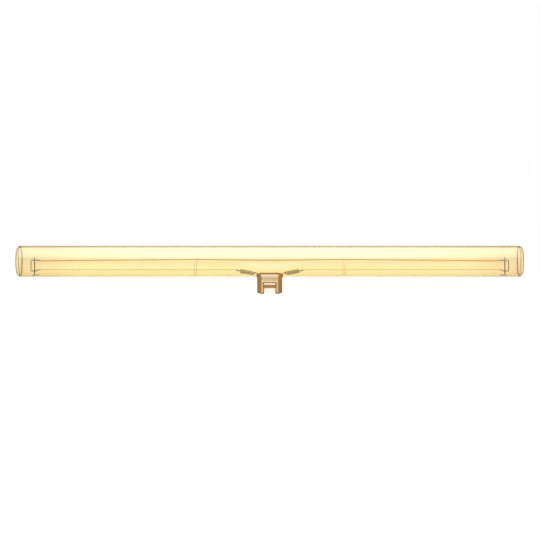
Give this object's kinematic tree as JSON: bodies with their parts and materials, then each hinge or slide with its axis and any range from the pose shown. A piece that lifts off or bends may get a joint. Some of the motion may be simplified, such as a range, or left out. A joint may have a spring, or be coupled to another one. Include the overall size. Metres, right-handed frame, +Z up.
{
  "type": "linear led tube lamp",
  "caption": "Linear LED filament lamp: clear gold glass tube with domed ends, a long filament on bent-wire supports, sprung return wires and a plug cap under its middle.",
  "frame": {"origin": "middle of the plane that the plug cap's feet stand on, under the middle of the tube", "axes": "+X along the tube, +Y across it, away from the pictured front, +Z up from the cap to the tube"},
  "size_m": [0.5, 0.0306, 0.0476],
  "materials": {
    "gold_glass": "clear, gold tinted",
    "stem_glass": "clear",
    "cap_brass": "satin",
    "contact_brass": "bright",
    "ceramic_white": "matt",
    "cement": "matt",
    "board_green": "satin",
    "chip_black": "satin",
    "resistor_grey": "satin",
    "phosphor_orange": "matt",
    "wire_steel": "bright",
    "spring_steel": "bright"
  },
  "bodies": {
    "root": {"glass_tube": "gold_glass", "glass_stem": "stem_glass", "cap_shell": "cap_brass", "basing_cement": "cement", "cap_insulator": "ceramic_white", "driver_board": "board_green", "bridge_rectifier": "chip_black", "current_regulator": "chip_black", "fusible_resistor": "resistor_grey", "led_filament": "phosphor_orange", "left_contact": "contact_brass", "right_contact": "contact_brass", "left_spring": "spring_steel", "right_spring": "spring_steel", "left_lead_in_wire": "wire_steel", "right_lead_in_wire": "wire_steel", "left_return_wire": "wire_steel", "right_return_wire": "wire_steel", "left_filament_terminal": "wire_steel", "right_filament_terminal": "wire_steel", "left_end_link": "wire_steel", "right_end_link": "wire_steel", "left_mid_support": "wire_steel", "right_mid_support": "wire_steel", "left_end_support": "wire_steel", "right_end_support": "wire_steel"}
  },
  "joints": []
}
